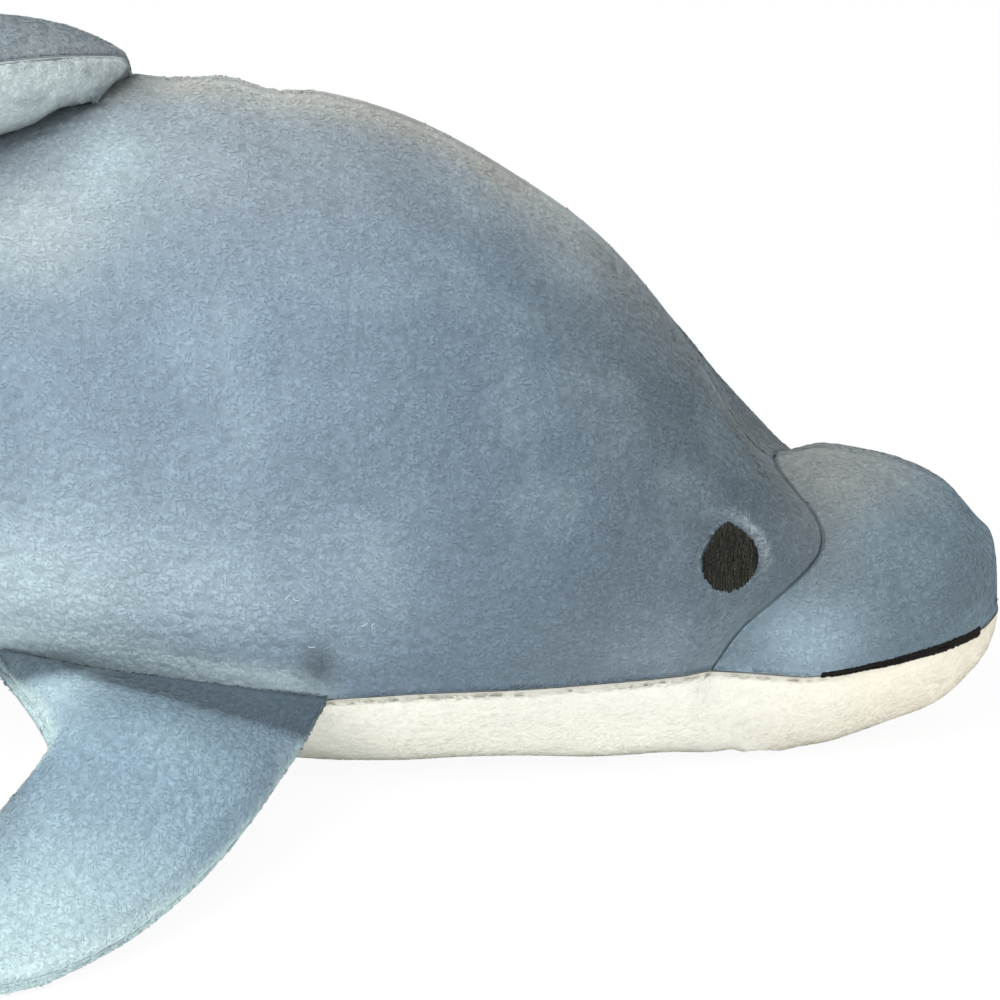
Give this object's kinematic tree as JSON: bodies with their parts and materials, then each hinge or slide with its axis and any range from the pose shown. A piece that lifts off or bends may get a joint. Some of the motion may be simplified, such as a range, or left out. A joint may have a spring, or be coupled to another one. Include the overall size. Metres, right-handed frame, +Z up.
{
  "type": "plush dolphin",
  "caption": "Stuffed plush dolphin with a white belly, embroidered eyes and mouth, spread flippers, a flopped back fin and a tail fluke.",
  "frame": {"origin": "on the surface the toy rests on, under the middle of its length and width", "axes": "+X towards the snout, +Y to the toy's left, +Z up"},
  "size_m": [0.5126, 0.3268, 0.1999],
  "materials": {
    "plush_snout": "short-pile plush, matt",
    "plush_back": "short-pile plush, matt",
    "plush_white": "short-pile plush, matt",
    "plush_fin": "short-pile plush, matt",
    "plush_flipper": "short-pile plush, matt",
    "plush_fluke": "short-pile plush, matt",
    "eye_thread": "satin-stitched embroidery thread",
    "mouth_thread": "satin-stitched embroidery thread",
    "fibre": "loose polyester fibre"
  },
  "bodies": {
    "root": {"snout_panel_right": "plush_snout", "snout_panel_left": "plush_snout", "back_panel_right": "plush_back", "back_panel_left": "plush_back", "belly_panel": "plush_white", "body_stuffing": "fibre", "dorsal_fin_panel_left": "plush_fin", "dorsal_fin_panel_right": "plush_fin", "dorsal_fin_stuffing": "fibre", "tail_fluke_lower": "plush_fluke", "tail_fluke_upper": "plush_fluke", "tail_fluke_stuffing": "fibre", "flipper_upper_right": "plush_flipper", "flipper_lower_right": "plush_flipper", "flipper_stuffing_right": "fibre", "flipper_upper_left": "plush_flipper", "flipper_lower_left": "plush_flipper", "flipper_stuffing_left": "fibre", "eye_right": "eye_thread", "eye_left": "eye_thread", "mouth_right": "mouth_thread", "mouth_left": "mouth_thread"}
  },
  "joints": []
}
